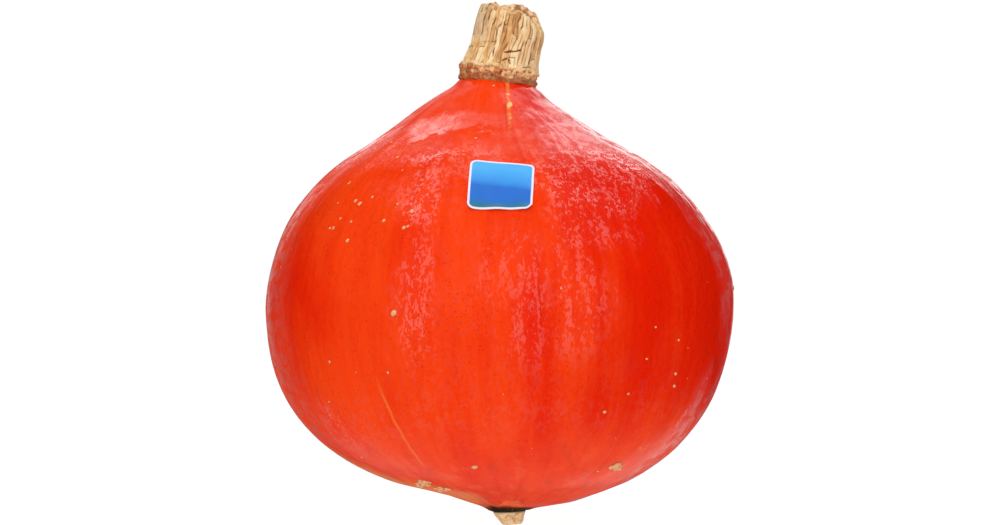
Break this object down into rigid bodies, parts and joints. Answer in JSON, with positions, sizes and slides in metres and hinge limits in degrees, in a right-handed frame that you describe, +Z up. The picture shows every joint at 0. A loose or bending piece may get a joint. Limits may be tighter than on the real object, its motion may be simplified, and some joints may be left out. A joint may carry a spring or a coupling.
{
  "type": "red kuri squash",
  "caption": "Teardrop-shaped red-orange winter squash with a leaning corky stem, standing on its blossom-end button.",
  "frame": {"origin": "centre of the flat spot under the blossom scar, which the squash stands on", "axes": "+Z up through the stem, -Y towards the side with the sticker, +X towards the side that the stem leans to"},
  "size_m": [0.1592, 0.1545, 0.1788],
  "materials": {
    "skin": "waxy red-orange skin, softly glossy, finely pitted",
    "stem_cork": "dry fissured cork, matt",
    "scar_cork": "dry tan cork, matt",
    "sticker_paper": "coated paper, blank blue with a white border"
  },
  "bodies": {
    "root": {"fruit": "skin", "stem": "stem_cork", "blossom_scar": "scar_cork", "sticker": "sticker_paper"}
  },
  "joints": []
}
